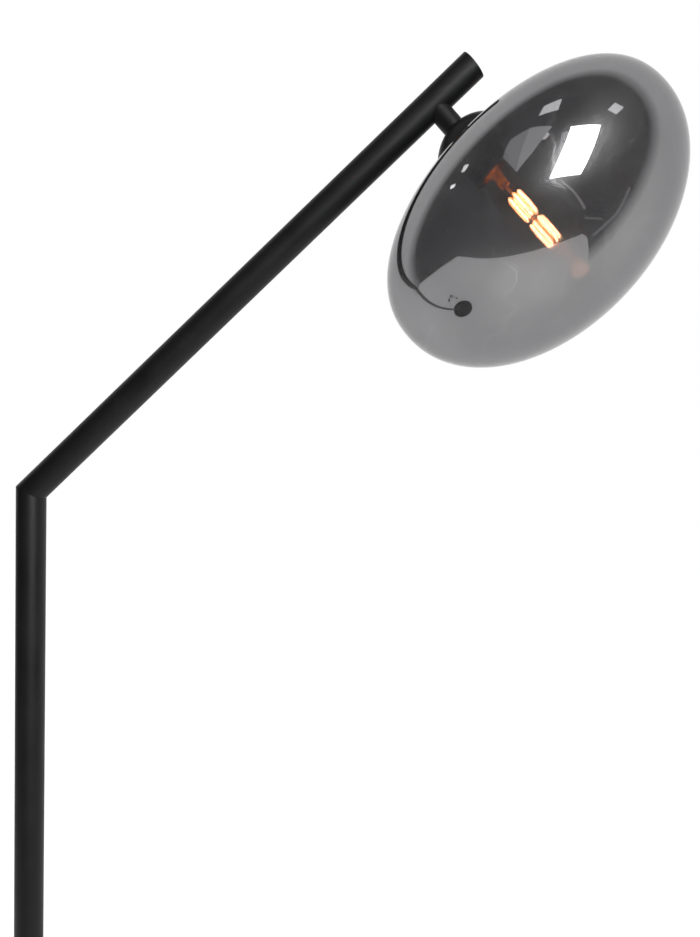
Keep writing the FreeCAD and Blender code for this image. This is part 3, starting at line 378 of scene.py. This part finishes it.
def smokedGlass():
    # grey smoked glass with a thin metal coat that mirrors the room and lets the bulb through;
    # the haze of the wiped surface fades towards the rim
    material, nodes, links, shader = newMaterial("smokedMirrorGlass", **{
        "Base Color": glassLook["tone"], "Specular Tint": glassLook["edgeTone"],
        "Metallic": glassLook["mirror"], "Transmission Weight": 1.0, "IOR": 1.45, "Roughness": 0.0,
        "Coat Roughness": glassLook["hazeRough"], "Coat IOR": glassLook["hazeIor"]})
    marks = useGroup(nodes, wipeMarks())
    facing = nodes.new("ShaderNodeLayerWeight")
    facing.inputs["Blend"].default_value = 0.5
    middle = spread(nodes, links, facing.outputs["Facing"], *glassLook["rimBand"], 1, glassLook["rimShare"])
    haze = combine(nodes, links, "MULTIPLY", marks.outputs["Haze"], middle)
    links.new(haze, shader.inputs["Coat Weight"])
    return material


# ---- the bulb ----

bulbLook = {
    "core": (1.0, 0.90, 0.70),
    "edge": (1.0, 0.24, 0.03),
    "strength": 26.0,
    # strength of the glow painted on the bulb's stem, which is no lamp
    "paintedStemGlow": 1.8,
    "circle": 0.0058,
    "strands": 6,
    "strandRadius": 0.0021,
    "tiers": [(0.1040, 0.1300), (0.1330, 0.1590)],  # along the neck from the arm's axis
    "bend": 0.0006,
    "taper": 8,  # each end rounds off over one part in this many
    "tip": 0.12,
    "rimBand": (0.05, 0.45),
    "grainScale": 420,
    "leastShare": 0.45,
    "tubeSteps": 20,
    "alongSteps": 24,
}


def glowSkin():
    # white hot where a strand faces the eye, orange towards its edge, uneven along its length
    material, nodes, links, shader = newMaterial("litFilament", **{
        "Roughness": 0.5, "Base Color": (0.9, 0.5, 0.2, 1)})
    facing = nodes.new("ShaderNodeLayerWeight")
    facing.inputs["Blend"].default_value = 0.5
    mask = spread(nodes, links, facing.outputs["Facing"], *bulbLook["rimBand"], 0, 1)
    glowTone = mixColours(nodes, links, mask, bulbLook["core"], bulbLook["edge"])
    links.new(glowTone, shader.inputs["Emission Color"])
    grain = objectPattern(nodes, links, bulbLook["grainScale"], 2.0)
    strength = bulbLook["strength"]
    least = strength * bulbLook["leastShare"]
    uneven = spread(nodes, links, grain.outputs["Fac"], 0.35, 0.65, least, strength)
    links.new(uneven, shader.inputs["Emission Strength"])
    return material


def strandPoints(start, end, angle):
    # a thick strand: a circle of radius strandRadius around a line along the neck's axis,
    # rounded at both ends and bowed outward by bend * sin(pi t)
    part = np.linspace(0, 1, bulbLook["alongSteps"])
    along = start + (end - start) * part
    taper = np.clip(np.minimum(part, 1 - part) * bulbLook["taper"], 0, 1)
    tip = bulbLook["tip"]
    radius = bulbLook["strandRadius"] * (tip + (1 - tip) * np.sqrt(1 - (1 - taper) ** 2))
    reach = bulbLook["circle"] + bulbLook["bend"] * np.sin(np.pi * part)
    turn = np.linspace(0, 2 * np.pi, bulbLook["tubeSteps"], endpoint=False)
    side = np.cos(angle) * sideWay + np.sin(angle) * crossWay
    other = -np.sin(angle) * sideWay + np.cos(angle) * crossWay
    middle = headPoint + along[:, None] * neckWay + reach[:, None] * side
    ring = np.cos(turn)[:, None] * side + np.sin(turn)[:, None] * other
    return (middle[:, None, :] + radius[:, None, None] * ring[None, :, :]).reshape(-1, 3)


def makeFilaments():
    steps, rows = bulbLook["tubeSteps"], bulbLook["alongSteps"]
    points, faces = [], []
    for tier, (start, end) in enumerate(bulbLook["tiers"]):
        for strand in range(bulbLook["strands"]):
            angle = (strand + 0.5 * tier) * 2 * np.pi / bulbLook["strands"]
            base = len(points) * rows * steps
            points.append(strandPoints(start, end, angle))
            faces += (gridFaces(rows, steps)[:, ::-1] + base).tolist()
            faces.append([base + step for step in range(steps)])
            faces.append([base + (rows - 1) * steps + step for step in reversed(range(steps))])
    thing = addMesh("glowingStrands", np.concatenate(points), faces, glowSkin())
    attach(thing, "bulb")
    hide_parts("bulb_filaments")
    print("filaments", len(faces), "faces")


def bulbGlass():
    return newMaterial("amberBulbGlass", **{
        "Base Color": (0.93, 0.84, 0.70, 1), "Transmission Weight": 1.0, "IOR": 1.2, "Roughness": 0.0})[0]


def stemWithPaintedGlow():
    # the stem's glass, with an orange glow painted on in patches by emission, standing for the light of the
    # strands beside it
    material, nodes, links, shader = newMaterial("stemWithPaintedGlow", **{
        "Base Color": (0.55, 0.30, 0.14, 1), "Roughness": 0.2})
    patches = objectPattern(nodes, links, 160, 3.0)
    # painted glow: orange emission in patches on the stem, standing for the strands' light on it
    shader.inputs["Emission Color"].default_value = (*bulbLook["edge"], 1)
    links.new(spread(nodes, links, patches.outputs["Fac"], 0.42, 0.62, 0.1, bulbLook["paintedStemGlow"]),
              shader.inputs["Emission Strength"])
    return material


def dressBulb():
    dress("bulb_envelope", bulbGlass())
    dress("bulb_stem", stemWithPaintedGlow())


# ---- the mains cord and what is on it ----

cord = {
    "thick": 0.0055,
    "leadPoints": [(-0.180, 0, 0.0065), (-0.222, 0, 0.0065), (-0.262, -0.005, 0.00275),
                   (-0.300, -0.020, 0.00275),
                   (-0.332, -0.046, 0.0044), (-0.355, -0.082, 0.0044)],
    "tailPoints": [(0.040, 0, 0.0044), (0.082, 0, 0.0044), (0.1104, 0.0222, 0.00275),
                   (0.1163, 0.0557, 0.00275)],
    "endPoints": [(0.0635, 0.1122, 0.00275), (0.0411, 0.129, 0.0044), (0.023, 0.1477, 0.007),
                  (0.0095, 0.165, 0.007)],
    "switchReach": 0.040,
    "coilMiddle": (0.068, 0.068),
    "coilRadius": 0.030,
    "startAngle": 28.7,
    # the turns' places in the bundle, outward and up, in cords' thicknesses
    "lanes": [(1.0, 0.5), (0.0, 0.5), (-1.0, 0.5), (-0.5, 1.37), (0.5, 1.37),
              (1.0, 2.24), (0.0, 2.24), (-1.0, 2.24)],
    "easeFrom": 0.72,  # share of a turn after which it moves over to the next place
    "pointsPerTurn": 14,
}


def switchPlace(points):
    # from (ahead, left, up) of the foot switch's middle to the lamp's frame
    last, end = np.array(cord["leadPoints"][-2]), np.array(cord["leadPoints"][-1])
    ahead = (end - last)[:2] / np.linalg.norm((end - last)[:2])
    left = np.array([-ahead[1], ahead[0]])
    middle = end[:2] + ahead * cord["switchReach"]
    points = np.array(points)
    flat = middle + points[:, :1] * ahead + points[:, 1:2] * left
    return np.concatenate([flat, points[:, 2:]], 1)


def cordCurve(name, points, material):
    # one NURBS spline through the route's control points, with a round bevel
    curve = bpy.data.curves.new(name, "CURVE")
    curve.dimensions = "3D"
    curve.bevel_depth = cord["thick"] / 2
    curve.bevel_resolution = 5
    curve.use_fill_caps = True
    curve.resolution_u = 12
    spline = curve.splines.new("NURBS")
    spline.points.add(len(points) - 1)
    spline.points.foreach_set("co", np.concatenate([points, np.ones((len(points), 1))], 1).ravel())
    spline.order_u = 3
    spline.use_endpoint_u = True
    curve.materials.append(material)
    thing = bpy.data.objects.new(name, curve)
    scene.collection.objects.link(thing)
    return thing


def coilPoints():
    # eight turns in a bundle about three cords wide: each keeps its place and eases over to the next
    lanes = np.array(cord["lanes"]) * cord["thick"]
    turn = np.arange(len(lanes) * cord["pointsPerTurn"]) / cord["pointsPerTurn"]
    lane = turn.astype(int)
    ease = np.clip((turn - lane - cord["easeFrom"]) / (1 - cord["easeFrom"]), 0, 1)[:, None]
    here, after = lanes[lane], lanes[np.minimum(lane + 1, len(lanes) - 1)]
    offset = here * (1 - ease) + after * ease
    angle = math.radians(cord["startAngle"]) + turn * 2 * np.pi
    radius = cord["coilRadius"] + offset[:, 0]
    x = cord["coilMiddle"][0] + radius * np.cos(angle)
    y = cord["coilMiddle"][1] + radius * np.sin(angle)
    return np.stack([x, y, offset[:, 1]], 1)


def makeCords():
    material = finishes["sheath"]
    lead = cordCurve("mainsLead", np.array(cord["leadPoints"]), material)
    wound = np.concatenate([np.array(cord["tailPoints"]), coilPoints(), np.array(cord["endPoints"])])
    rest = cordCurve("mainsRest", switchPlace(wound), material)
    for thing, nodes in ((lead, ["mains_cord"]), (rest, ["cord_tail", "cord_coil", "cord_end"])):
        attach(thing, "stand")
        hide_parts(*nodes)
    print("cords made")


# ---- studio: floor, backdrop colour, lamps, and what the glass mirrors ----

studio = {
    "background": (1.0, 1.0, 1.0),
    "ambient": 0.85,
    "floorLift": 0.32,
    "floorReach": 9.0,
    "domeRadius": 7.0,
    "domeGrid": (48, 96),
    "domeEdge": (0.08, 0.30),  # where dark turns to bright, as shares of the radius behind the lamp
    "paperBright": 0.90,
    "paperLift": 0.0006,
    "domeBright": 0.88,
    "domeDark": 0.018,
    "paper": [(-2.11, 0.24), (-1.60, -0.75), (-1.10, -1.31), (-0.60, -1.27), (-0.10, -1.17), (0.87, -0.95),
              (1.63, -0.73), (2.39, -0.42), (2.44, -0.17), (2.26, 0.28), (2.11, 0.58), (1.89, 0.63),
              (1.45, 0.88), (1.07, 1.04), (0.62, 1.12), (0.18, 0.98), (-0.24, 0.93), (-0.67, 1.04),
              (-1.30, 0.90), (-1.93, 0.55)],
    "panels": {
        "keyPanel": (16.0, [(1.34, -2.60, 1.32), (2.33, -1.98, 1.27),
            (2.13, -1.49, 2.90), (1.26, -1.96, 3.08)]),
        "highPanelLeft": (1.9, [(-0.07, -1.30, 3.67), (0.52, -1.41, 3.67),
            (0.42, -0.88, 3.90), (-0.06, -0.87, 3.85)]),
        "highPanelRight": (2.0, [(2.00, -1.05, 3.32), (2.30, -0.93, 3.12),
            (2.29, -0.57, 3.26), (2.01, -0.69, 3.46)]),
        "smallPanel": (1.5, [(0.48, -2.29, 2.86), (0.61, -2.30, 2.83),
            (0.68, -2.19, 2.98), (0.54, -2.12, 3.07)]),
        "glintHolderA": (3.0, [(-1.72, -0.46, 2.82), (-1.69, -0.66, 2.81),
            (-1.60, -0.57, 2.96), (-1.63, -0.27, 2.98)]),
        "glintHolderB": (4.0, [(-1.92, -0.49, 2.48), (-1.88, -0.71, 2.46),
            (-1.85, -0.64, 2.56), (-1.88, -0.38, 2.59)]),
        "fanLeft": (0.50, [(-0.05, -2.63, 1.94), (-0.77, -2.02, 2.71),
            (-0.73, -1.54, 3.24), (-0.19, -1.66, 3.40)]),
        "fanRight": (0.75, [(-0.05, -2.63, 1.94), (-0.19, -1.66, 3.40),
            (0.64, -1.99, 3.21), (0.32, -2.49, 2.48)]),
        "streakUpper": (0.5, [(1.71, -2.43, 1.18), (1.75, -2.41, 1.22),
            (2.35, -1.85, 0.73), (2.31, -1.87, 0.69)]),
        "streakLower": (0.4, [(2.31, -1.87, 0.69), (2.35, -1.85, 0.73),
            (2.68, -1.10, 0.32), (2.64, -1.14, 0.27)]),
        "standUpper": (0.30, [(3.10, -0.03, 1.05), (3.10, 0.08, 1.05),
            (2.97, 0.21, 0.53), (2.97, 0.09, 0.51)]),
        "standLower": (0.30, [(2.97, 0.09, 0.51), (2.97, 0.21, 0.53),
            (2.71, 0.01, -0.04), (2.70, -0.12, -0.06)]),
        "standFoot": (0.25, [(2.66, -0.91, 0.13), (2.88, -0.23, 0.28),
            (2.87, -0.18, 0.25), (2.66, -0.85, 0.10)]),
    },
}


def glossyOnly(thing):
    # seen in mirrors only: casts no light or shadow, and the camera looks through it
    thing.visible_camera = False
    thing.visible_diffuse = False
    thing.visible_transmission = False
    thing.visible_volume_scatter = False
    thing.visible_shadow = False


def glowMaterial(name, strength):
    material = bpy.data.materials.new(name)
    material.use_nodes = True
    nodes, links = material.node_tree.nodes, material.node_tree.links
    nodes.remove(nodes["Principled BSDF"])
    glow = nodes.new("ShaderNodeEmission")
    glow.inputs["Color"].default_value = (1, 1, 1, 1)
    glow.inputs["Strength"].default_value = strength
    links.new(glow.outputs["Emission"], nodes["Material Output"].inputs["Surface"])
    return material, nodes, links, glow


def seenByEye(nodes, links):
    # 1 for camera, glossy and transmission rays, 0 for the light that falls on surfaces
    path = nodes.new("ShaderNodeLightPath")
    total = path.outputs["Is Camera Ray"]
    for other in ("Is Glossy Ray", "Is Transmission Ray"):
        total = combine(nodes, links, "MAXIMUM", total, path.outputs[other])
    return total


def makeWorld():
    world = bpy.data.worlds.new("softStudio")
    world.use_nodes = True
    scene.world = world
    nodes, links = world.node_tree.nodes, world.node_tree.links
    seen = seenByEye(nodes, links)
    tone = mixColours(nodes, links, seen, (studio["ambient"],) * 3, studio["background"])
    links.new(tone, nodes["Background"].inputs["Color"])


def makeFloor():
    size = studio["floorReach"]
    corners = [(-size, -size, 0), (size, -size, 0), (size, size, 0), (-size, size, 0)]
    material, nodes, links, shader = newMaterial("paleFloor", **{
        "Base Color": (0.86, 0.86, 0.86, 1), "Roughness": 0.9})
    shader.inputs["Specular IOR Level"].default_value = 0.0
    shader.inputs["Emission Color"].default_value = (1, 1, 1, 1)
    lift = spread(nodes, links, seenByEye(nodes, links), 0, 1, 0, studio["floorLift"])
    links.new(lift, shader.inputs["Emission Strength"])
    floor = addMesh("studioFloor", corners, [(0, 1, 2, 3)], material, smooth=False)
    floor.visible_glossy = False


def makeMirrored():
    # the dome: bright behind the lamp, dark on the camera's side, by the direction from its middle
    rows, columns = studio["domeGrid"]
    polar = np.linspace(0.001, np.pi - 0.001, rows)[:, None]
    around = np.linspace(0, 2 * np.pi, columns, endpoint=False)[None, :]
    radius = studio["domeRadius"]
    middle = headPoint + neckWay * globe["centre"]
    points = np.stack([radius * np.sin(polar) * np.cos(around), radius * np.sin(polar) * np.sin(around),
                       radius * np.cos(polar) + 0 * around], -1).reshape(-1, 3)
    material, nodes, links, glow = glowMaterial("mirroredRoom", 1.0)
    place = nodes.new("ShaderNodeTexCoord")
    parts = nodes.new("ShaderNodeSeparateXYZ")
    links.new(place.outputs["Object"], parts.inputs["Vector"])
    edgeStart, edgeEnd = (share * radius for share in studio["domeEdge"])
    bright = spread(nodes, links, parts.outputs["Y"], edgeStart, edgeEnd, 0, 1)
    dark, light = (studio["domeDark"],) * 3, (studio["domeBright"],) * 3
    links.new(mixColours(nodes, links, bright, dark, light), glow.inputs["Color"])
    dome = addMesh("mirroredRoom", points, gridFaces(rows, columns), material)
    dome.location = Vector(middle)
    glossyOnly(dome)

    paper = np.array([(x, y, studio["paperLift"]) for x, y in studio["paper"]])
    pale = glowMaterial("mirroredPaper", studio["paperBright"])[0]
    glossyOnly(addMesh("mirroredPaper", paper, [range(len(paper))], pale, smooth=False))
    for name, (strength, corners) in studio["panels"].items():
        glossyOnly(addMesh(name, corners, [(0, 1, 2, 3)], glowMaterial(name, strength)[0], smooth=False))


def addLamp(name, place, target, size, power):
    data = bpy.data.lights.new(name, "AREA")
    data.shape = "RECTANGLE"
    data.size, data.size_y = size
    data.energy = power
    light = bpy.data.objects.new(name, data)
    light.location = place
    light.rotation_euler = (Vector(target) - Vector(place)).to_track_quat("-Z", "Y").to_euler()
    light.visible_glossy = False
    scene.collection.objects.link(light)


addCamera()
makeWorld()
makeFloor()
makeMirrored()
addLamp("keyLamp", (2.0, -2.6, 2.6), (0.2, 0, 1.0), (1.4, 1.8), 60)
print("studio ready")
dressNodes()
dressBulb()
makeFilaments()
makeGlobe()
makeCords()

scene.view_settings.view_transform = "Standard"
